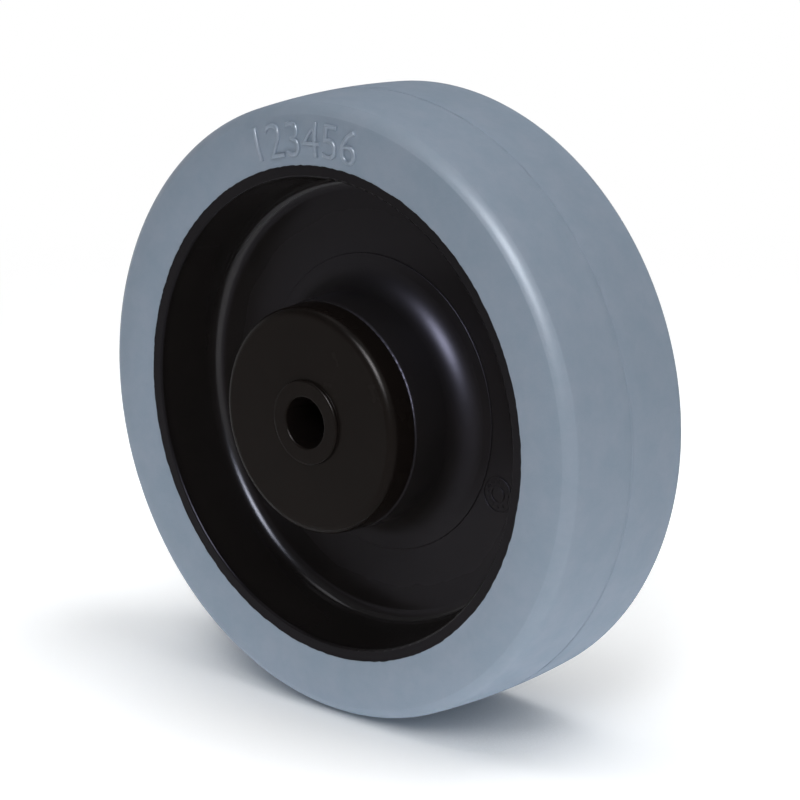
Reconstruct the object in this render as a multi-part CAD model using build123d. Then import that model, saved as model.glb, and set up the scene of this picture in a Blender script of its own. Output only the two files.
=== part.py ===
from build123d import *
import os
from math import radians, sqrt, tan

# Solid rubber castor wheel. All sizes are in millimetres. The axle runs along Y, the origin is the
# centre of the wheel, Z is up and the front is the -Y side. Both sides are alike.

# Whole wheel
wheel_diameter = 125.0
tread_width = 36.0  # over the widest part of the tyre's two side faces
axle_bore = 10.2

# Tyre
tyre_thickness = 12.7  # rubber seen from the side, from the rim to the tread
crown_height = 0.7  # middle of the tread above its edges
side_bulge = 0.6  # side faces beyond the rim and the shoulder
shoulder_chamfer = 2.2
shoulder_swell = 0.3  # middle of the shoulder beyond a flat chamfer
shoulder_round = 0.8  # both edges of the shoulder

# Key that holds the tyre on the rim: a rib round the middle of the rim, with cross notches
key_height = 3.0
key_width = 12.0
key_slope = 15.0  # degrees, of each side of the rib
key_notches = 12
key_notch_width = 7.0

# Moulded wheel centre
lip_width = 2.5  # end face of the rim
lip_round = 0.5
barrel_draft = 8.0  # degrees, inside of the rim
rim_fillet = 3.0  # rim to web
web_thickness = 6.2
hub_width = 34.6  # moulded hub, without the caps
hub_diameter = 46.0
hub_edge_round = 0.4
hub_draft = 0.5  # degrees, outside of the hub
hub_fillet = 5.0  # hub to web
foot_width = 2.0  # raised ring on the web beyond the hub fillet
foot_height = 0.3
bearing_inset = 0.6  # bearing below the hub's end face
seat_lead = 0.5
ledge_width = 3.0  # shoulder that stops each bearing

# Deep groove ball bearings
bearing_bore = 15.0
bearing_diameter = 35.0
bearing_width = 11.0
bearing_edge = 0.5
ball_share = 0.595  # ball diameter over the height of the bearing's section
ball_count = 8
shoulder_share = 0.2  # depth of the ball grooves over the ball diameter
groove_ease = 0.12  # groove radius beyond the ball radius
bearing_play = 0.03  # ball to groove, each side
shield_sheet = 0.35
shield_depth = 0.85  # rebate for the shield
shield_seat = 0.9  # radial width of the rebate
shield_gap = 0.2  # shield to inner ring

# Riveted ball cage
cage_land_gap = 0.74  # cage to each bearing ring
cage_sheet = 0.5
cage_play = 0.12  # ball to its pocket
rivet_diameter = 0.9
rivet_head = 1.6
rivet_head_height = 0.35

# Spacer tube between the inner rings
spacer_wall = 2.1
spacer_play = 0.1  # spigot to spacer tube

# Cap with bush, one on each side
cap_depth = 5.8  # skirt and disc
cap_round = 1.8
cap_draft = 3.0  # degrees, outside of the skirt
cap_wall = 1.8
cap_gap = 0.4  # running gap to the hub
cap_step = 0.1  # cap below the hub's outside
boss_diameter = 17.0
boss_height = 0.8
boss_round = 0.4
boss_foot = 0.08  # round where the boss meets the disc
collar_wall = 1.8
spigot_play = 0.02
spigot_reach = 2.5  # into the spacer tube, past the inner ring

# Places that follow from the sizes
wheel_radius = wheel_diameter / 2
rim_radius = wheel_radius - tyre_thickness
rim_face = tread_width / 2 - side_bulge
lip_radius = rim_radius - lip_width
web_face = web_thickness / 2
barrel_root = lip_radius - (rim_face - web_face) * tan(radians(barrel_draft))
hub_face = hub_width / 2
foot_face = web_face + foot_height
hub_radius = hub_diameter / 2
hub_root = hub_radius + (hub_face - foot_face) * tan(radians(hub_draft))
foot_radius = hub_root + hub_fillet + foot_width
bearing_face = hub_face - bearing_inset
bearing_back = bearing_face - bearing_width
bearing_middle = bearing_face - bearing_width / 2
seat_radius = bearing_diameter / 2
shaft_radius = bearing_bore / 2
pitch_radius = (seat_radius + shaft_radius) / 2
ball_radius = (seat_radius - shaft_radius) * ball_share / 2
groove_radius = ball_radius + groove_ease
groove_offset = groove_ease - bearing_play
land_offset = ball_radius - ball_radius * 2 * shoulder_share
outer_land = pitch_radius + land_offset
inner_land = pitch_radius - land_offset
pocket_radius = ball_radius + cage_play
skirt_end = hub_face + cap_gap
cap_face = skirt_end + cap_depth
boss_face = cap_face + boss_height
cap_back_radius = hub_radius - cap_step
cap_front_radius = cap_back_radius - cap_depth * tan(radians(cap_draft))
spigot_radius = shaft_radius - spigot_play

# The section of a turned piece lies in the XY plane: X is the radius and Y the place along the axle.
axle = Axis.Y
wheel_plane = Plane.XZ


def turned(corners):
    """A ring turned from the corners of its section, each with its radius, its place and its round."""
    outline = FilletPolyline(
        *[(radius, place) for radius, place, _ in corners],
        radius=[corner_round for _, _, corner_round in corners],
        close=True,
    )
    return revolve(make_face(outline), axle)


def ring(inner_radius, outer_radius, low, high):
    """A plain ring between two places along the axle."""
    low_edge = [(inner_radius, low, 0), (outer_radius, low, 0)]
    high_edge = [(outer_radius, high, 0), (inner_radius, high, 0)]
    return turned(low_edge + high_edge)


def both_sides(half):
    """The whole section from its rear half, which runs from the bore out to the rim."""
    return half + [(radius, -place, corner_round) for radius, place, corner_round in reversed(half)]


def key():
    """Rib round the rim, rooted in the barrel, with the notches that the rubber fills."""
    top = rim_radius + key_height
    root = rim_radius - key_height / 2
    slope = tan(radians(key_slope))
    top_half = key_width / 2 - key_height * slope
    root_half = key_width / 2 + (rim_radius - root) * slope
    rib = turned([(root, -root_half, 0), (top, -top_half, 0), (top, top_half, 0), (root, root_half, 0)])
    outwards = (Align.MIN, Align.CENTER, Align.CENTER)
    notch = Box(key_height * 2, key_notch_width, key_width * 2, align=outwards)
    for place in PolarLocations(rim_radius, key_notches):
        rib -= wheel_plane * place * notch
    return rib


def tyre():
    """Rubber ring with a crowned tread, swelling shoulders and softly bulging sides."""
    tread_edge = wheel_radius - crown_height
    shoulder_end = rim_face - shoulder_chamfer
    side_edge = tread_edge - shoulder_chamfer
    side_middle = (rim_radius + side_edge) / 2
    swell = shoulder_swell / sqrt(2)
    swell_radius = (tread_edge + side_edge) / 2 + swell
    swell_place = (shoulder_end + rim_face) / 2 + swell
    tread = ThreePointArc((tread_edge, -shoulder_end), (wheel_radius, 0), (tread_edge, shoulder_end))
    outline = [tread, Line((rim_radius, -rim_face), (rim_radius, rim_face))]
    for side in (1, -1):
        shoulder = (side_edge, side * rim_face)
        middle = (swell_radius, side * swell_place)
        bulge = (side_middle, side * tread_width / 2)
        outline.append(ThreePointArc((tread_edge, side * shoulder_end), middle, shoulder))
        outline.append(ThreePointArc(shoulder, bulge, (rim_radius, side * rim_face)))
    section = make_face(outline)
    shoulders = section.vertices().filter_by_position(Axis.X, side_middle, wheel_radius)
    return revolve(fillet(shoulders, shoulder_round), axle) - key()


def wheel_centre():
    """One moulding: rim, web and hub with a seat for a bearing at each end."""
    half = [
        (seat_radius - ledge_width, bearing_back, 0),
        (seat_radius, bearing_back, 0),
        (seat_radius, hub_face - seat_lead, 0),
        (seat_radius + seat_lead, hub_face, 0),
        (hub_radius, hub_face, hub_edge_round),
        (hub_root, foot_face, hub_fillet),
        (foot_radius, foot_face, foot_height / 2),
        (foot_radius, web_face, 0),
        (barrel_root, web_face, rim_fillet),
        (lip_radius, rim_face, lip_round),
        (rim_radius, rim_face, 0),
    ]
    return turned(both_sides(half)) + key()


def groove(centre_radius):
    """Ring with a round section that leaves the ball groove in a bearing ring."""
    return Torus(centre_radius, groove_radius, rotation=(90, 0, 0))


def outer_ring():
    """Outer bearing ring with its ball groove and a rebate for a shield at each end."""
    half_width = bearing_width / 2
    rebate = outer_land + shield_seat
    half = [
        (outer_land, half_width - shield_depth, 0),
        (rebate, half_width - shield_depth, 0),
        (rebate, half_width, 0),
        (seat_radius, half_width, bearing_edge),
    ]
    return turned(both_sides(half)) - groove(pitch_radius - groove_offset)


def inner_ring():
    """Inner bearing ring with its ball groove."""
    half_width = bearing_width / 2
    half = [(shaft_radius, half_width, bearing_edge), (inner_land, half_width, bearing_edge / 2)]
    return turned(both_sides(half)) - groove(pitch_radius + groove_offset)


def shield():
    """Pressed dust shield in the rear rebate of the outer ring, with its rim turned outwards."""
    seat = bearing_width / 2 - shield_depth
    rim = outer_land + shield_seat
    edge = bearing_width / 2 - shield_sheet / 2
    hole = inner_land + shield_gap
    return turned(
        [
            (hole, seat, 0),
            (rim, seat, 0),
            (rim, edge, 0),
            (rim - shield_sheet, edge, 0),
            (rim - shield_sheet, seat + shield_sheet, 0),
            (hole, seat + shield_sheet, 0),
        ]
    )


def balls(radius):
    """Spheres at the ball centres."""
    return [wheel_plane * place * Sphere(radius) for place in PolarLocations(pitch_radius, ball_count)]


def rivet_places():
    """Places half way between the balls, with their own axis along the axle."""
    half_pitch = 180 / ball_count
    places = PolarLocations(pitch_radius, ball_count, start_angle=half_pitch)
    return [wheel_plane * place for place in places]


def cage_half():
    """Rear half of the pressed cage: a flat ring with a cup over each ball."""
    inner_edge = inner_land + cage_land_gap
    outer_edge = outer_land - cage_land_gap
    cup_radius = pocket_radius + cage_sheet
    flat = ring(inner_edge, outer_edge, 0, cage_sheet)
    band = ring(inner_edge, outer_edge, 0, cup_radius)
    cups = [band & cup for cup in balls(cup_radius)]
    hole = Cylinder(rivet_diameter / 2, cage_sheet * 4)
    return flat + cups - balls(pocket_radius) - [place * hole for place in rivet_places()]


def rivets():
    """Rivets that join the two halves of the cage, each with a head at both ends."""
    head_place = cage_sheet + rivet_head_height / 2
    shank = Cylinder(rivet_diameter / 2, cage_sheet * 2)
    head = Cylinder(rivet_head / 2, rivet_head_height)
    rivet = shank + Pos(0, 0, head_place) * head + Pos(0, 0, -head_place) * head
    return [place * rivet for place in rivet_places()]


def spacer_tube():
    """Steel tube that keeps the two inner rings apart."""
    inner_radius = spigot_radius + spacer_play
    return ring(inner_radius, inner_radius + spacer_wall, -bearing_back, bearing_back)


def cap():
    """Rear cap: a disc with a skirt, a boss round the axle and a bush through the inner ring."""
    disc_back = cap_face - cap_wall
    collar_radius = shaft_radius + collar_wall
    return turned(
        [
            (axle_bore / 2, boss_face, boss_round),
            (boss_diameter / 2, boss_face, boss_round),
            (boss_diameter / 2, cap_face, boss_foot),
            (cap_front_radius, cap_face, cap_round),
            (cap_back_radius, skirt_end, 0),
            (cap_back_radius - cap_wall, skirt_end, 0),
            (cap_front_radius - cap_wall, disc_back, cap_round / 2),
            (collar_radius, disc_back, cap_round / 2),
            (collar_radius, bearing_face, 0),
            (spigot_radius, bearing_face, 0),
            (spigot_radius, bearing_back - spigot_reach, 0),
            (axle_bore / 2, bearing_back - spigot_reach, 0),
        ]
    )


def rear_pieces():
    """Every piece that comes once on each side, where it lies on the rear side."""
    bearing = Pos(0, bearing_middle, 0)
    to_front = Plane.XZ
    return {
        "cap": [cap()],
        "outer_ring": [bearing * outer_ring()],
        "inner_ring": [bearing * inner_ring()],
        "outer_shield": [bearing * shield()],
        "inner_shield": [bearing * mirror(shield(), about=to_front)],
        "balls": [bearing * ball for ball in balls(ball_radius)],
        "outer_cage_half": [bearing * cage_half()],
        "inner_cage_half": [bearing * mirror(cage_half(), about=to_front)],
        "cage_rivets": [bearing * rivet for rivet in rivets()],
    }


def solids_of(shapes):
    """Every solid in a list of shapes, as one group."""
    return Compound(children=[solid for shape in shapes for solid in shape.solids()])


os.makedirs("parts", exist_ok=True)
pieces = {"tyre": [tyre()], "wheel_centre": [wheel_centre()], "spacer_tube": [spacer_tube()]}
for name, shapes in rear_pieces().items():
    pieces["rear_" + name] = shapes
    pieces["front_" + name] = [mirror(shape, about=Plane.XZ) for shape in shapes]

for name, shapes in pieces.items():
    export_step(solids_of(shapes), f"parts/{name}.step")
    print(name, "solids", len(solids_of(shapes).solids()))
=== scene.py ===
# %% [markdown]
# # A solid rubber castor wheel
# The wheel is a grey elastic rubber tyre moulded round a black plastic wheel centre. A black cap covers the
# ball bearing at each end of the hub, and a plain bore takes the axle bolt.
# The engineering model comes in first and stays where it is. This file gives it its finish: a tyre with its
# mould marks, better surfaces for every other piece, light, a floor and a camera.

from math import cos, hypot, pi, radians, sin, sqrt, tau

import bmesh
import bpy
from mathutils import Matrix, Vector, noise


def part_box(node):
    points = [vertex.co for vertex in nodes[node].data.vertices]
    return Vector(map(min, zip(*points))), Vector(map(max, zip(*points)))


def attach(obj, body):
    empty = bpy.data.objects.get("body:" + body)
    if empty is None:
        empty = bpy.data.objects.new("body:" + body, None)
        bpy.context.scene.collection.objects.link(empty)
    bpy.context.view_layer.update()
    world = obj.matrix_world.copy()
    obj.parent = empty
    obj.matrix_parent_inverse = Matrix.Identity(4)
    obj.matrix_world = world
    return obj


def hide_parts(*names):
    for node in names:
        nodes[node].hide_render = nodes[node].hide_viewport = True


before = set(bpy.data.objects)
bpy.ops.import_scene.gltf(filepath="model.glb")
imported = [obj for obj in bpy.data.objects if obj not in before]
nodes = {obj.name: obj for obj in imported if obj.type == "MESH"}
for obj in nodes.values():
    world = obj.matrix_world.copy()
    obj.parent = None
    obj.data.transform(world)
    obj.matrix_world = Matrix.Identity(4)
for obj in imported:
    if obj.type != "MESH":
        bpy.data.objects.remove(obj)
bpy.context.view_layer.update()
mm = 0.001

# %% [markdown]
# The wheel turns about the Y axis, so a place on it is easiest to give as a radius, a place along the axle
# and an angle. Angle 0 points right (+X) and 90 degrees points up (+Z), as seen from the front, which is
# the -Y side. These sizes are read from the model, so the new pieces fit whatever the model says.

# %% Sizes read from the model
rim_tolerance = 0.02 * mm
web_start, web_end = 29 * mm, 44 * mm


def ring_points(node):
    """Radius and place along the axle of every point of a node."""
    return [(hypot(v.co.x, v.co.z), v.co.y) for v in nodes[node].data.vertices]


tyre_low, tyre_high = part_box("tyre")
tyre_points = ring_points("tyre")
wheel_radius = min(-tyre_low.x, -tyre_low.z, tyre_high.x, tyre_high.z)
side_reach = tyre_high.y
rim_radius = min(radius for radius, place in tyre_points)
rim_face = max(place for radius, place in tyre_points if radius < rim_radius + rim_tolerance)
web_face = min(abs(place) for radius, place in ring_points("wheel_centre") if web_start < radius < web_end)
sizes_read = (wheel_radius, rim_radius, rim_face, web_face)
print("tyre radius, rim radius, rim face and web face in mm:", [round(size / mm, 2) for size in sizes_read])


# %% Points round the wheel
def on_wheel(radius, place, angle):
    """A point from its radius, its place along the axle and its angle in radians."""
    return Vector((radius * cos(angle), place, radius * sin(angle)))


# %% [markdown]
# ## Shader groups
# Each finish has some faint unevenness: clouds in the colour, a fine grain, gloss that changes from place
# to place. The same effects serve rubber, plastic and steel, so each is a node group that is built once.
# Only its numbers differ from one material to the next. A few short helpers place the nodes, because a row
# of calls that say what they work out is easier to follow than a row of links.


# %% Helpers that place nodes
def add(tree, kind, settings=None, **links):
    """A new node. settings are plain values by socket name, and links are sockets that feed it by name."""
    node = tree.nodes.new("ShaderNode" + kind)
    for name, value in (settings or {}).items():
        if name in node.inputs:
            node.inputs[name].default_value = value
        else:
            setattr(node, name, value)
    for name, source in links.items():
        tree.links.new(source, node.inputs[name.replace("_", " ")])
    return node


def feed(tree, value, socket):
    """Gives a socket its value: a link where the value is another socket, and otherwise the plain value."""
    if isinstance(value, bpy.types.NodeSocket):
        tree.links.new(value, socket)
    else:
        socket.default_value = value


def calculate(tree, operation, *values):
    """The result of a Math node on one or two values."""
    node = add(tree, "Math", {"operation": operation})
    for value, socket in zip(values, node.inputs):
        feed(tree, value, socket)
    return node.outputs[0]


def remap(tree, value, start, end, low=0.0, high=1.0, curve="LINEAR"):
    """A value made into low at start and high at end, and held there beyond them."""
    settings = {"interpolation_type": curve, "From Min": start, "From Max": end}
    node = add(tree, "MapRange", settings, Value=value)
    feed(tree, low, node.inputs["To Min"])
    feed(tree, high, node.inputs["To Max"])
    return node.outputs["Result"]


mix_sockets = {"FLOAT": (2, 3, 0), "RGBA": (6, 7, 2)}


def mixed(tree, kind, share, first, second, how="MIX"):
    """Two numbers (FLOAT) or colours (RGBA) in one: first where share is 0 and second where it is 1."""
    node = add(tree, "Mix", {"data_type": kind, "blend_type": how})
    first_socket, second_socket, result = mix_sockets[kind]
    feed(tree, share, node.inputs["Factor"])
    feed(tree, first, node.inputs[first_socket])
    feed(tree, second, node.inputs[second_socket])
    return node.outputs[result]


# %% Helpers that read the object's own coordinates
def own_place(tree):
    """The object's own coordinates, which stay on the wheel when it turns."""
    return add(tree, "TexCoord").outputs["Object"]


def length_of(tree, vector):
    """How long a vector is."""
    node = add(tree, "VectorMath", {"operation": "LENGTH"})
    tree.links.new(vector, node.inputs[0])
    return node.outputs["Value"]


def axle_distance(tree):
    """How far a point of the surface is from the axle line."""
    flat = add(tree, "VectorMath", {"operation": "MULTIPLY"})
    tree.links.new(own_place(tree), flat.inputs[0])
    flat.inputs[1].default_value = (1, 0, 1)
    return length_of(tree, flat.outputs[0])


def noise_at(tree, place, scale, detail, roughness=0.5):
    """A noise texture at a place, with its scale per metre."""
    settings = {"Detail": detail, "Roughness": roughness}
    return add(tree, "TexNoise", settings, Vector=place, Scale=scale).outputs["Fac"]


# %% A helper that starts a shader group
def shader_group(title, inputs, outputs):
    """An empty group with named sockets. Inputs are (name, kind, default) and outputs are (name, kind)."""
    group = bpy.data.node_groups.new(title, "ShaderNodeTree")
    for name, kind, default in inputs:
        socket = group.interface.new_socket(name=name, in_out="INPUT", socket_type="NodeSocket" + kind)
        socket.default_value = default
    for name, kind in outputs:
        group.interface.new_socket(name=name, in_out="OUTPUT", socket_type="NodeSocket" + kind)
    start = group.nodes.new("NodeGroupInput")
    end = group.nodes.new("NodeGroupOutput")
    return group, start.outputs, end.inputs


# %% [markdown]
# **Cloudy tint.** Moulded rubber and plastic are never one flat colour: the mix and the cooling leave wide,
# very faint clouds. A noise texture blends between two close colours. It reads the object's own
# coordinates, so the pattern stays on the wheel when it turns.

# %% Cloudy tint group
mid_grey = (0.5, 0.5, 0.5, 1)


def make_cloudy_tint():
    """A colour that drifts towards a second one in wide clouds."""
    group, given, out = shader_group(
        "Cloudy tint",
        [("Colour", "Color", mid_grey), ("Tint", "Color", mid_grey),
         ("Clouds per metre", "Float", 30.0), ("Strength", "Float", 0.5)],
        [("Colour", "Color")],
    )
    clouds = noise_at(group, own_place(group), given["Clouds per metre"], detail=6.0, roughness=0.68)
    spread = remap(group, clouds, start=0.35, end=0.65)
    amount = calculate(group, "MULTIPLY", spread, given["Strength"])
    group.links.new(mixed(group, "RGBA", amount, given["Colour"], given["Tint"]), out["Colour"])
    return group


cloudy_tint = make_cloudy_tint()
print("built the shader group", cloudy_tint.name)

# %% [markdown]
# **Moulded grain.** A mould is never quite polished. Two sizes of noise, one fine and one wide, make a
# height that a Bump node turns into a skin that breaks up the reflections.


# %% Moulded grain group
def make_moulded_grain():
    """A height made of fine grains and wide waves."""
    group, given, out = shader_group(
        "Moulded grain",
        [("Grains per metre", "Float", 2500.0), ("Waves per metre", "Float", 120.0),
         ("Wave share", "Float", 0.5)],
        [("Height", "Float")],
    )
    place = own_place(group)
    grain = noise_at(group, place, given["Grains per metre"], detail=2.0)
    waves = noise_at(group, place, given["Waves per metre"], detail=1.0)
    group.links.new(mixed(group, "FLOAT", given["Wave share"], grain, waves), out["Height"])
    return group


moulded_grain = make_moulded_grain()
print("built the shader group", moulded_grain.name)

# %% [markdown]
# **Uneven gloss.** Handling leaves patches that are a little duller or shinier. The group gives a roughness
# that wanders between two limits.


# %% Uneven gloss group
def make_uneven_gloss():
    """A roughness that wanders between two limits."""
    group, given, out = shader_group(
        "Uneven gloss",
        [("Lowest", "Float", 0.3), ("Highest", "Float", 0.4), ("Patches per metre", "Float", 60.0)],
        [("Roughness", "Float")],
    )
    patches = noise_at(group, own_place(group), given["Patches per metre"], detail=4.0, roughness=0.6)
    rough = remap(group, patches, start=0.3, end=0.7, low=given["Lowest"], high=given["Highest"])
    group.links.new(rough, out["Roughness"])
    return group


uneven_gloss = make_uneven_gloss()
print("built the shader group", uneven_gloss.name)

# %% [markdown]
# **Turned rings.** A bearing ring, a tube and a pressed shield are all worked while they spin, so their
# fine marks run round the axle. The group measures how far a point is from the axle line and along it, and
# a noise stretched over those two lengths gives rings that never leave the axle.


# %% Turned rings group
def make_turned_rings():
    """A height made of fine rings round the axle."""
    group, given, out = shader_group(
        "Turned rings",
        [("Rings per metre", "Float", 3000.0)],
        [("Height", "Float")],
    )
    along = add(group, "SeparateXYZ", Vector=own_place(group)).outputs["Y"]
    section = add(group, "CombineXYZ", X=axle_distance(group), Y=along).outputs[0]
    group.links.new(noise_at(group, section, given["Rings per metre"], detail=3.0), out["Height"])
    return group


turned_rings = make_turned_rings()
print("built the shader group", turned_rings.name)

# %% [markdown]
# ## Materials
# A material joins the groups to one Principled shader. A number that is the same all over, such as the
# metal share, sits on the shader's own socket. Only what changes over the surface arrives through a link.


# %% A helper that starts a material
def add_group(tree, group, **values):
    """Places a shader group and sets its inputs. An underscore in a name stands for a space."""
    node = tree.nodes.new("ShaderNodeGroup")
    node.node_tree = group
    for name, value in values.items():
        node.inputs[name.replace("_", " ")].default_value = value
    return node.outputs


def finish(title, colour, tint, clouds, gloss, grain, depth, **shader_values):
    """A material from two colours, clouds (per metre, strength), gloss limits and the height of its grain."""
    material = bpy.data.materials.new(title)
    material.use_nodes = True
    tree = material.node_tree
    shader = tree.nodes["Principled BSDF"]
    for name, value in shader_values.items():
        shader.inputs[name.replace("_", " ")].default_value = value
    cloudy = add_group(tree, cloudy_tint, Colour=(*colour, 1), Tint=(*tint, 1),
                       Clouds_per_metre=clouds[0], Strength=clouds[1])
    rough = add_group(tree, uneven_gloss, Lowest=gloss[0], Highest=gloss[1])
    bump = add(tree, "Bump", {"Distance": depth, "Strength": 1.0}, Height=grain(tree)["Height"])
    tree.links.new(cloudy["Colour"], shader.inputs["Base Color"])
    tree.links.new(rough["Roughness"], shader.inputs["Roughness"])
    tree.links.new(bump.outputs["Normal"], shader.inputs["Normal"])
    print("made the material", title)
    return material


def moulded(grains, waves, wave_share):
    """The moulded grain for a finish: grains and waves per metre, and the share of the waves."""
    return lambda tree: add_group(
        tree, moulded_grain, Grains_per_metre=grains, Waves_per_metre=waves, Wave_share=wave_share
    )


# %% [markdown]
# A mould isn't equally smooth all over. Because every piece is round, its distance from the axle says which
# part of the mould made it. Three helpers use that distance. One makes a material duller or glossier from one
# radius to another, one paints shade on it by darkening its colour in the same way, and one lays a ring of
# clear gloss on it.

# %% Finish by distance from the axle
ring_core = 0.6


def change_roughness(material, radii, change):
    """Changes a material's roughness, by nothing at the first radius and by all of it at the second."""
    tree = material.node_tree
    socket = tree.nodes["Principled BSDF"].inputs["Roughness"]
    extra = remap(tree, axle_distance(tree), *radii, high=change)
    tree.links.new(calculate(tree, "ADD", socket.links[0].from_socket, extra), socket)


def deepen(material, radii, share):
    """Paints shade by darkening a material's colour, by nothing at the first radius and down to a share at
    the second.
    """
    tree = material.node_tree
    socket = tree.nodes["Principled BSDF"].inputs["Base Color"]
    strength = remap(tree, axle_distance(tree), *radii, low=1.0, high=share)
    darker = add(tree, "VectorMath", {"operation": "SCALE"}, Scale=strength)
    tree.links.new(socket.links[0].from_socket, darker.inputs[0])
    tree.links.new(darker.outputs[0], socket)


def gloss_ring(material, middle, half_width, weight, rough):
    """Gives a material a ring of clear gloss round the axle. It is whole in the ring's core and fades out."""
    tree = material.node_tree
    shader = tree.nodes["Principled BSDF"]
    shader.inputs["Coat Roughness"].default_value = rough
    away = calculate(tree, "ABSOLUTE", calculate(tree, "SUBTRACT", axle_distance(tree), middle))
    ring = remap(tree, away, ring_core * half_width, half_width, low=weight, high=0.0)
    tree.links.new(ring, shader.inputs["Coat Weight"])


# %% [markdown]
# **Grey rubber.** Elastic solid rubber is a blue grey with a soft sheen. Its clouds lean a little towards
# violet, its grain is fine, and its specular level is low, as rubber's is. The shoulder catches the light
# in a bright line with a soft glow along it, so a ring of rough clear gloss lies over it. The tread comes
# out of a much duller part of the mould.

# %% Grey rubber
rubber_grey = (0.195, 0.241, 0.296)
rubber_violet = (0.233, 0.268, 0.325)
rubber_clouds = 150.0
rubber_grain = moulded(grains=2600.0, waves=160.0, wave_share=0.6)
shoulder_radii = (59.2 * mm, 59.8 * mm)
tread_radii = (61.4 * mm, 61.8 * mm)
grey_rubber = finish(
    "Grey rubber", rubber_grey, rubber_violet, clouds=(rubber_clouds, 0.6), gloss=(0.29, 0.36),
    grain=rubber_grain, depth=0.07 * mm, Specular_IOR_Level=0.045,
)
change_roughness(grey_rubber, shoulder_radii, change=0.06)
change_roughness(grey_rubber, tread_radii, change=0.39)
gloss_ring(grey_rubber, middle=60.6 * mm, half_width=1.5 * mm, weight=0.14, rough=0.52)

# %% [markdown]
# Raised numbers rub against hands, boxes and other wheels, so their rubber is smoother and shines more. It is
# the same mix with less grain and a higher specular level.

# %% Rubbed rubber
rubbed_rubber = finish(
    "Rubbed grey rubber", rubber_grey, rubber_violet, clouds=(rubber_clouds, 0.9), gloss=(0.24, 0.30),
    grain=rubber_grain, depth=0.03 * mm, Specular_IOR_Level=0.20,
)

# %% [markdown]
# ** Black plastics.** The wheel centre is a black polyamide. The cap is a separate moulding from another
# batch, a browner black with less sheen. Both are nearly black, so what one sees is almost all reflection:
# the specular level sets how dark they look, and its tint gives the wheel centre's violet sheen and the
# cap's warm one. The wheel centre gets glossier from the hub's flare outwards, its lip has painted shade
# that darkens its colour to half, and the fillet at the rim has a ring of clear gloss that draws the thin
# streak there.

# %% Black plastics
wheel_colours = (0.0086, 0.0074, 0.0070), (0.0104, 0.0088, 0.0082)
cap_colours = (0.0052, 0.0039, 0.0034), (0.0061, 0.0044, 0.0037)
flare_radii = (32 * mm, 42 * mm)
lip_shade_radii = (47.0 * mm, 47.4 * mm)
wheel_black = finish(
    "Black polyamide", *wheel_colours, clouds=(60.0, 0.8), gloss=(0.39, 0.44),
    grain=moulded(grains=1500.0, waves=90.0, wave_share=0.7), depth=0.012 * mm,
    Specular_IOR_Level=0.078, Specular_Tint=(0.84, 0.79, 1.0, 1),
)
change_roughness(wheel_black, flare_radii, change=-0.22)
# painted shade: the lip's colour is darkened to half here, so the lip looks darker
deepen(wheel_black, lip_shade_radii, share=0.5)
gloss_ring(wheel_black, middle=45.0 * mm, half_width=1.2 * mm, weight=0.36, rough=0.15)
cap_black = finish(
    "Black cap plastic", *cap_colours, clouds=(60.0, 0.6), gloss=(0.24, 0.28),
    grain=moulded(grains=3000.0, waves=150.0, wave_share=0.4), depth=0.008 * mm,
    Specular_IOR_Level=0.043, Specular_Tint=(1.0, 0.90, 0.83, 1),
)

# %% [markdown]
# **Steels.** The bearing is hidden by the caps, but it is there: ground rings, polished balls, pressed
# shields and cages, and a zinc plated spacer tube. All are metals with turned marks, from fine to coarse.

# %% Steels
steel_cast = (1.0, 1.0, 1.02)
steel_stain = (0.9, 0.92, 0.95)


def steel(title, grey, gloss, rings, depth):
    """A steel with a grey level, gloss limits, turned rings per metre and the height of the rings."""
    return finish(
        title, [grey * part for part in steel_cast], [grey * part for part in steel_stain],
        clouds=(80.0, 0.7), gloss=gloss, depth=depth, Metallic=1.0,
        grain=lambda tree: add_group(tree, turned_rings, Rings_per_metre=rings),
    )


ground_steel = steel("Ground steel", 0.55, gloss=(0.20, 0.30), rings=6000.0, depth=0.003 * mm)
polished_steel = steel("Polished steel", 0.62, gloss=(0.06, 0.12), rings=4000.0, depth=0.0005 * mm)
pressed_steel = steel("Pressed steel", 0.45, gloss=(0.28, 0.40), rings=2500.0, depth=0.004 * mm)
plated_steel = steel("Zinc plated steel", 0.50, gloss=(0.30, 0.45), rings=3500.0, depth=0.006 * mm)

# %% [markdown]
# The model's own pieces keep their shape, and each gets its finish here. The names say what a piece is, so
# a short table from the end of a name to a material is enough.

# %% Dress the pieces of the model
finish_of = {
    "wheel_centre": wheel_black,
    "cap": cap_black,
    "ring": ground_steel,
    "balls": polished_steel,
    "shield": pressed_steel,
    "cage_half": pressed_steel,
    "rivets": pressed_steel,
    "spacer_tube": plated_steel,
    "tyre": grey_rubber,
}
for name, piece in nodes.items():
    material = next(look for ending, look in finish_of.items() if name.endswith(ending))
    piece.data.materials.clear()
    piece.data.materials.append(material)
print("dressed", len(nodes), "pieces")

# %% [markdown]
# ## The tyre
# The tyre is the piece that one looks at first, so it is modelled again with the marks of its mould: a
# parting line round the tread, and a thin ragged flash where rubber crept over the rim. Its section is one
# closed outline of corners with rounds, and turning it about the axle gives the ring. An outline turned in
# code was chosen over a stack of modifiers, because the ragged edge needs a radius that changes with angle.


# %% An outline with rounded corners
def rounded_outline(corners, steps=6):
    """Points of a closed outline. Each corner is (radius, place, round), and a round becomes a short arc."""
    points = []
    for i, (radius, place, corner_round) in enumerate(corners):
        here = Vector((radius, place))
        if not corner_round:
            points.append(here)
            continue
        to_last = (Vector(corners[i - 1][:2]) - here).normalized()
        to_next = (Vector(corners[(i + 1) % len(corners)][:2]) - here).normalized()
        half_turn = to_last.angle(to_next) / 2
        middle = here + (to_last + to_next).normalized() * (corner_round / sin(half_turn))
        reach = corner_round * cos(half_turn) / sin(half_turn)
        start = (here + to_last * reach - middle).normalized()
        end = (here + to_next * reach - middle).normalized()
        points += [middle + start.slerp(end, step / steps) * corner_round for step in range(steps + 1)]
    return points


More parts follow.
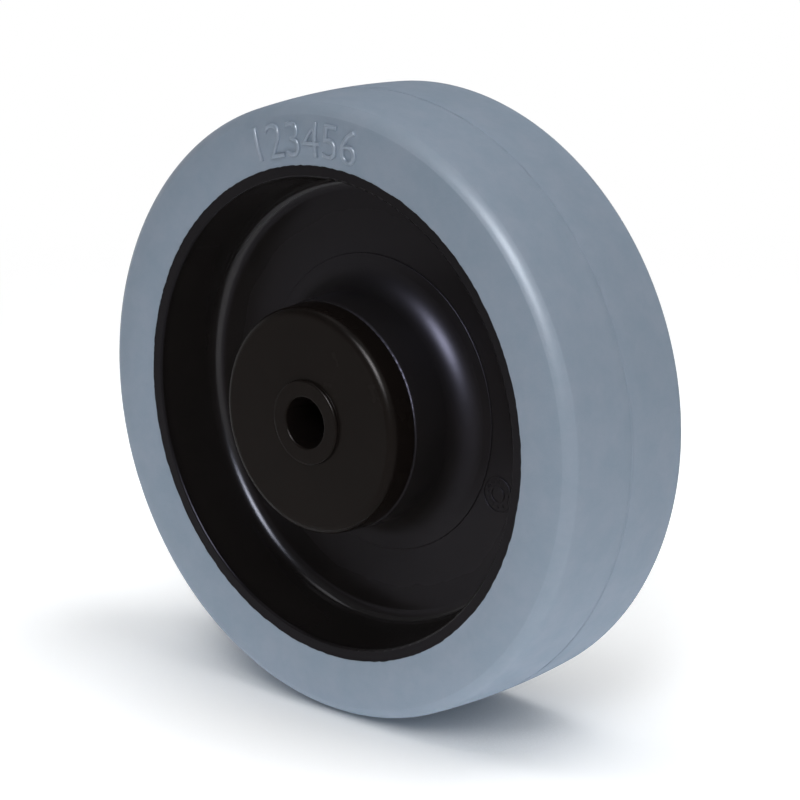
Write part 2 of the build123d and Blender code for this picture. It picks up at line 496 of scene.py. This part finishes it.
# %% The tyre's section
crown_height = 0.7 * mm
shoulder_chamfer = 2.2 * mm
shoulder_swell = 0.3 * mm
shoulder_round = 0.8 * mm
parting_height = 0.25 * mm
parting_width = 0.36 * mm
parting_dip = 1.6 * mm
flash_thickness = 0.06 * mm
flash_foot = flash_thickness / 6
flash_reach = 0.14 * mm

tread_edge = wheel_radius - crown_height
side_edge = tread_edge - shoulder_chamfer
shoulder_end = rim_face - shoulder_chamfer
side_bulge = side_reach - rim_face


def bow(share):
    """How far a bowed line stands out at a share of its length: 0 at both ends and 1 in the middle."""
    return 4 * share * (1 - share)


def tread_radius(place):
    """Radius of the crowned tread, a shallow arc that dips a little beside the parting line."""
    dip = parting_height * max(0, 1 - place / parting_dip) ** 2
    return wheel_radius - dip - crown_height * (place / shoulder_end) ** 2


def side_place(radius):
    """Distance from the wheel's middle plane to the bulging side face."""
    return rim_face + side_bulge * bow((radius - rim_radius) / (side_edge - rim_radius))


# %% Corners of half the section
tread_steps, shoulder_steps, side_steps = 10, 6, 12


def tyre_half_section():
    """Corners of the tyre's rear half, from the parting line round the shoulder to the rim."""
    edge_radius = tread_radius(shoulder_end)
    half = [(wheel_radius, 0, 0)]
    for place in (parting_width / 2, parting_width, parting_dip / 2, parting_dip):
        half.append((tread_radius(place), place, 0))
    for step in range(2, tread_steps):
        place = shoulder_end * step / tread_steps
        half.append((tread_radius(place), place, 0))
    half.append((edge_radius, shoulder_end, shoulder_round))
    for step in range(1, shoulder_steps):
        share = step / shoulder_steps
        swell = shoulder_swell / sqrt(2) * bow(share)
        radius = edge_radius + (side_edge - edge_radius) * share + swell
        half.append((radius, shoulder_end + shoulder_chamfer * share + swell, 0))
    half.append((side_edge, rim_face, shoulder_round))
    for step in range(2, side_steps):
        radius = side_edge + (rim_radius - side_edge) * step / side_steps
        half.append((radius, side_place(radius), 0))
    half.append((rim_radius, rim_face + flash_thickness, 0))
    half.append((rim_radius - flash_reach, rim_face + flash_thickness, 0))
    half.append((rim_radius - flash_reach, rim_face + flash_foot, 0))
    half.append((rim_radius, rim_face + flash_foot, 0))
    half.append((rim_radius, rim_face - flash_reach, 0))
    return half


rear_half = tyre_half_section()
front_half = [(radius, -place, corner_round) for radius, place, corner_round in reversed(rear_half[1:])]
tyre_section = rounded_outline(rear_half + front_half)
print("the tyre's section has", len(tyre_section), "points")

# %% [markdown]
# The flash is ragged: its edge wanders by about a tenth of a millimetre. Noise read on a circle closes on
# itself, so the edge has no seam where the turn ends.

# %% Turn the section into the tyre
ring_sharp_angle = radians(50)
flash_noise = ((9, 0.4), (31, 0.9), (67, 0.7))
flash_limit = 0.95


def turned_mesh(title, section, turns, shift=None):
    """A ring made by turning a closed section about the axle. shift moves a section point at an angle."""
    mesh = bpy.data.meshes.new(title)
    points, faces = [], []
    count = len(section)
    for turn in range(turns):
        angle = tau * turn / turns
        for radius, place in section:
            if shift:
                radius, place = shift(radius, place, angle)
            points.append(on_wheel(radius, place, angle))
    for turn in range(turns):
        this, after = turn * count, (turn + 1) % turns * count
        for i in range(count):
            j = (i + 1) % count
            faces.append((this + i, this + j, after + j, after + i))
    mesh.from_pydata(points, [], faces)
    mesh.shade_smooth()
    mesh.set_sharp_from_angle(angle=ring_sharp_angle)
    piece = bpy.data.objects.new(title, mesh)
    bpy.context.scene.collection.objects.link(piece)
    return piece


def ragged_flash(radius, place, angle):
    """Moves the flash's edge in and out along the rim."""
    if radius < rim_radius - flash_reach / 2:
        side = 1 if place > 0 else -1
        spot = Vector((cos(angle), sin(angle), side))
        wander = sum(noise.noise(spot * waves) * share for waves, share in flash_noise)
        radius += flash_reach * max(-flash_limit, min(flash_limit, wander))
    return radius, place


tyre = turned_mesh("grey_tyre", tyre_section, turns=480, shift=ragged_flash)
tyre.data.materials.append(grey_rubber)
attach(tyre, "wheel")
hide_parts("tyre")
print("the tyre has", len(tyre.data.polygons), "faces")

# %% [markdown]
# ## Raised numbers
# Moulds leave raised numbers on a tyre's side, and often a small dial on the plastic. Here both have plain
# numbers. Blender's own lettering is thinned, given a round edge, turned into a mesh and laid on the
# surface point by point, so the numbers follow the bulge of the side and the curve of the wheel.

# %% A number as a mesh
digit_share = 0.7  # how high a digit is in a font of size 1


def number_mesh(text, height, stroke, relief, edge):
    """A mesh of a number, centred on its own middle, that stands out of z = 0 by its relief and is sunk as
    deep. stroke makes its lines thicker, or thinner below 0, and edge is the radius of their edges."""
    curve = bpy.data.curves.new("number", "FONT")
    curve.body = text
    curve.align_x = "CENTER"
    curve.align_y = "CENTER"
    curve.resolution_u = 5
    curve.size = height / digit_share
    curve.offset = stroke
    curve.extrude = relief - edge
    curve.bevel_depth = edge
    curve.bevel_resolution = 2
    carrier = bpy.data.objects.new("number", curve)
    bpy.context.scene.collection.objects.link(carrier)
    mesh = bpy.data.meshes.new_from_object(carrier.evaluated_get(bpy.context.evaluated_depsgraph_get()))
    bpy.data.objects.remove(carrier)
    bpy.data.curves.remove(curve)
    return mesh


# %% Several numbers as one piece
number_sharp_angle = radians(40)


def laid_numbers(title, numbers, lay, rows):
    """One piece from several (mesh, place) pairs. lay turns a flat point at a place into a real one, and
    rows are heights at which a mesh is cut, so that it can bend there."""
    all_of_it = bmesh.new()
    for mesh, where in numbers:
        part = bmesh.new()
        part.from_mesh(mesh)
        bpy.data.meshes.remove(mesh)
        for row in rows:
            whole = part.verts[:] + part.edges[:] + part.faces[:]
            bmesh.ops.bisect_plane(part, geom=whole, plane_co=(0, row, 0), plane_no=(0, 1, 0))
        for vertex in part.verts:
            vertex.co = lay(vertex.co, where)
        shaped = bpy.data.meshes.new("shaped")
        part.to_mesh(shaped)
        part.free()
        all_of_it.from_mesh(shaped)
        bpy.data.meshes.remove(shaped)
    bmesh.ops.recalc_face_normals(all_of_it, faces=all_of_it.faces)
    mesh = bpy.data.meshes.new(title)
    all_of_it.to_mesh(mesh)
    all_of_it.free()
    mesh.shade_smooth()
    mesh.set_sharp_from_angle(angle=number_sharp_angle)
    piece = bpy.data.objects.new(title, mesh)
    bpy.context.scene.collection.objects.link(piece)
    return piece


# %% Numbers on the tyre's side
number_height = 7.0 * mm
number_stroke = -0.30 * mm
number_relief = 0.50 * mm
number_edge = 0.28 * mm
number_radius = rim_radius + 4.6 * mm
number_count = 6
first_number_angle = 109.5
number_spacing = 5.2
number_rows = [step * mm for step in range(-3, 4)]


def lay_on_side(flat, angle):
    """Lays a flat point on the bulging front side. Up on the number points away from the axle."""
    radius = number_radius + flat.y
    return on_wheel(radius, -side_place(radius) - flat.z, angle - flat.x / number_radius)


number_meshes = [
    (number_mesh(str(step + 1), number_height, number_stroke, number_relief, number_edge),
     radians(first_number_angle - number_spacing * step))
    for step in range(number_count)
]
tyre_numbers = laid_numbers("tyre_numbers", number_meshes, lay_on_side, number_rows)
tyre_numbers.data.materials.append(rubbed_rubber)
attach(tyre_numbers, "wheel")
print("the numbers on the tyre have", len(tyre_numbers.data.polygons), "faces")

# %% [markdown]
# The dial on the web has the hours 1 to 12 between two low rings. It is moulded with the wheel centre, so
# it has the same black plastic. The web is flat, so the hours are laid on it without bending.

# %% Dial on the web
dial_distance = 34.1 * mm
dial_angle = -22
dial_centre = on_wheel(dial_distance, -web_face, radians(dial_angle))
dial_radius = 3.5 * mm
dial_relief = 0.24 * mm
dial_hours = 12
hour_circle = 0.74 * dial_radius
hour_height = 0.75 * mm
hour_relief = dial_relief / 2
hour_edge = 0.02 * mm


def lay_on_web(flat, where):
    """Lays a flat point on the front of the web, at a place (x, z) from the dial's centre."""
    return dial_centre + Vector((where[0] + flat.x, -flat.z, where[1] + flat.y))


def hour_place(hour):
    """Where an hour stands on the dial, clockwise from the top."""
    angle = pi / 2 - tau * hour / dial_hours
    return hour_circle * cos(angle), hour_circle * sin(angle)


dial_numbers = [
    (number_mesh(str(hour), hour_height, stroke=0, relief=hour_relief, edge=hour_edge), hour_place(hour))
    for hour in range(1, dial_hours + 1)
]
web_dial = laid_numbers("web_dial", dial_numbers, lay_on_web, [])
web_dial.data.materials.append(wheel_black)
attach(web_dial, "wheel")
print("the dial's numbers have", len(web_dial.data.polygons), "faces")

# %% Rings of the dial
inner_ring_radius = 0.45 * dial_radius


def add_dial_ring(title, radius, width):
    """A low ring with a rounded top on the front of the web, round the dial's centre."""
    inside, outside, top_round = radius - width / 2, radius + width / 2, width / 4
    corners = [(inside, 0, 0), (inside, -dial_relief, top_round),
               (outside, -dial_relief, top_round), (outside, 0, 0)]
    section = rounded_outline(corners, steps=3)
    ring = turned_mesh(title, section, turns=64)
    ring.location = dial_centre
    ring.data.materials.append(wheel_black)
    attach(ring, "wheel")
    print("added", title)


add_dial_ring("dial_outer_ring", dial_radius, width=0.30 * mm)
add_dial_ring("dial_inner_ring", inner_ring_radius, width=0.25 * mm)

# %% [markdown]
# ## Floor, light and camera
# The floor is a sheet of white paper on a darker table. Its colour is written whiter than white, because
# the photograph is exposed so that the paper burns out, and then the shadow keeps its depth. The paper
# throws light up at the wheel from close by, so the tyre's side is brightest at its foot. Further out the
# floor is white for the rays of the camera, of reflections and of glass, and dim for the rays that carry
# light. Close to the wheel an ambient occlusion node deepens the shadow that the eye sees.


# %% What the eye sees
def seen(tree):
    """1 for the rays of the camera, of reflections and of glass, and 0 for the rays that carry light."""
    ray = add(tree, "LightPath").outputs
    camera_or_glossy = calculate(tree, "MAXIMUM", ray["Is Camera Ray"], ray["Is Glossy Ray"])
    return calculate(tree, "MAXIMUM", camera_or_glossy, ray["Is Transmission Ray"])


# %% Paper
paper_white = 1.45
paper_bounce = 0.42
contact_reach = 0.06
contact_depth = 0.65
contact_samples = 8
table_grey = 0.30
paper_end = 0.12
table_start = 0.45


def mixed_shader(tree, share, first, second):
    """Two shaders in one: first where share is 0 and second where it is 1."""
    node = add(tree, "MixShader", Fac=share)
    tree.links.new(first, node.inputs[1])
    tree.links.new(second, node.inputs[2])
    return node.outputs[0]


def floor_colour(tree, for_the_eye, dim_share):
    """White paper or grey table, with the shadow close to the wheel that only the eye sees."""
    paper, table = [(level, level, level, 1) for level in (paper_white, table_grey)]
    colour = mixed(tree, "RGBA", dim_share, paper, table)
    contact = add(tree, "AmbientOcclusion", {"Distance": contact_reach, "samples": contact_samples})
    contact_share = calculate(tree, "MULTIPLY", for_the_eye, contact_depth)
    return mixed(tree, "RGBA", contact_share, colour, contact.outputs["Color"], how="MULTIPLY")


def floor_material():
    """White paper that fades into a dim table, which the eye sees as white."""
    material = bpy.data.materials.new("White paper")
    material.use_nodes = True
    tree = material.node_tree
    tree.nodes.clear()
    for_the_eye = seen(tree)
    far = remap(tree, length_of(tree, own_place(tree)), paper_end, table_start, curve="SMOOTHSTEP")
    far_share = calculate(tree, "MULTIPLY", for_the_eye, far)
    dim_share = calculate(tree, "SUBTRACT", far, far_share)
    paint = add(tree, "BsdfDiffuse", Color=floor_colour(tree, for_the_eye, dim_share)).outputs[0]
    bounce = add(tree, "Emission", Strength=remap(tree, far, 0.0, 1.0, low=paper_bounce, high=0.0))
    lit = add(tree, "AddShader")
    tree.links.new(paint, lit.inputs[0])
    tree.links.new(bounce.outputs[0], lit.inputs[1])
    near_look = mixed_shader(tree, for_the_eye, lit.outputs[0], paint)
    white = add(tree, "Emission", {"Strength": 1.0}).outputs[0]
    whole = mixed_shader(tree, far_share, near_look, white)
    tree.links.new(whole, add(tree, "OutputMaterial").inputs["Surface"])
    return material


# %% Floor
floor_half = 40.0


def make_floor():
    """A large flat sheet at the foot of the wheel."""
    corners = [(-1, -1), (1, -1), (1, 1), (-1, 1)]
    mesh = bpy.data.meshes.new("floor")
    mesh.from_pydata([(x * floor_half, y * floor_half, 0) for x, y in corners], [], [(0, 1, 2, 3)])
    floor = bpy.data.objects.new("floor", mesh)
    floor.location.z = -wheel_radius
    floor.data.materials.append(floor_material())
    bpy.context.scene.collection.objects.link(floor)
    return floor


make_floor()
print("laid the floor")

# %% [markdown]
# The world is the white backdrop, and above it a darker ceiling. The backdrop is full white for the eye and
# less for the light that it gives. Its level changes with height alone, so it looks the same from all sides.

# %% World
backdrop_light = 0.35
ceiling_level = 0.25
backdrop_top = 0.05
ceiling_start = 0.30
sky_colour = (0.99, 0.995, 1.0, 1)


def make_world():
    """The backdrop, and the ceiling that it fades into."""
    world = bpy.data.worlds.new("Studio")
    world.use_nodes = True
    tree = world.node_tree
    backdrop = mixed(tree, "FLOAT", seen(tree), backdrop_light, 1.0)
    height = add(tree, "SeparateXYZ", Vector=add(tree, "TexCoord").outputs["Generated"]).outputs["Z"]
    level = remap(tree, height, backdrop_top, ceiling_start, low=backdrop, high=ceiling_level)
    background = tree.nodes["Background"]
    background.inputs["Color"].default_value = sky_colour
    tree.links.new(level, background.inputs["Strength"])
    return world


bpy.context.scene.world = make_world()
print("set the world")

# %% [markdown]
# Two soft lamps hang high up, one behind on the right and one in front on the left, and light the top of
# the tyre. A front lamp and a right lamp light its side and its tread. These two have a glint: a second
# lamp in the same place, a little bluer, that only reflections see. The glints draw the crisp lines on the
# shoulder, the hub's flare and the edge of the cap. The back lamp is a glint alone, for what the wheel
# reflects from behind.

# %% Lamps
lamp_colour = (0.98, 0.99, 1.0)
glint_colour = (0.83, 0.90, 1.0)


def direction(azimuth, elevation):
    """Where a lamp or camera stands. Azimuth 0 is in front (-Y), 90 on the right (+X), in degrees."""
    a, e = radians(azimuth), radians(elevation)
    return Vector((sin(a) * cos(e), -cos(a) * cos(e), sin(e)))


def lamp(title, azimuth, elevation, side, share, glint=0):
    """A square lamp a metre away, aimed at the wheel. share is how much of full white it gives to a white
    surface that faces it, and pi * pi watts give it all. glint is the same for what reflections see."""
    place = direction(azimuth, elevation)
    for name, part in ((title, share), (title + "_glint", glint)):
        if not part:
            continue
        light = bpy.data.lights.new(name, "AREA")
        light.shape = "SQUARE"
        light.size = side
        light.energy = part * pi * pi
        light.color = lamp_colour if name == title else glint_colour
        holder = bpy.data.objects.new(name, light)
        holder.location = place
        holder.rotation_euler = place.to_track_quat("Z", "Y").to_euler()
        holder.visible_diffuse = name == title
        bpy.context.scene.collection.objects.link(holder)


lamp("front_lamp", 31, 39, side=0.42, share=0.36, glint=9.00)
lamp("right_lamp", 84, 35, side=0.40, share=0.11, glint=0.40)
lamp("back_lamp", 178, 45, side=0.40, share=0, glint=0.30)
lamp("top_right_lamp", 120, 68, side=0.50, share=0.32)
lamp("top_left_lamp", -58, 72, side=0.50, share=0.18)

# %% [markdown]
# The camera stands in front on the right and looks slightly down. It is 0.7 m away with a long lens, so the
# wheel has only a little perspective. A small shift puts the wheel where the photograph has it.

# %% Camera
camera_azimuth = 42.644
camera_elevation = 15.523
camera_distance = 0.69598
camera_place = direction(camera_azimuth, camera_elevation)

camera_data = bpy.data.cameras.new("Camera")
camera_data.lens = 156.85
camera_data.sensor_width = 36.0
camera_data.shift_x = 0.01391
camera_data.shift_y = -0.00196
camera_data.clip_start = 0.01
camera_data.clip_end = 100.0
camera = bpy.data.objects.new("Camera", camera_data)
camera.location = camera_place * camera_distance
camera.rotation_euler = camera_place.to_track_quat("Z", "Y").to_euler()
bpy.context.scene.collection.objects.link(camera)
bpy.context.scene.camera = camera
bpy.context.scene.view_settings.view_transform = "Standard"
print("placed the camera")
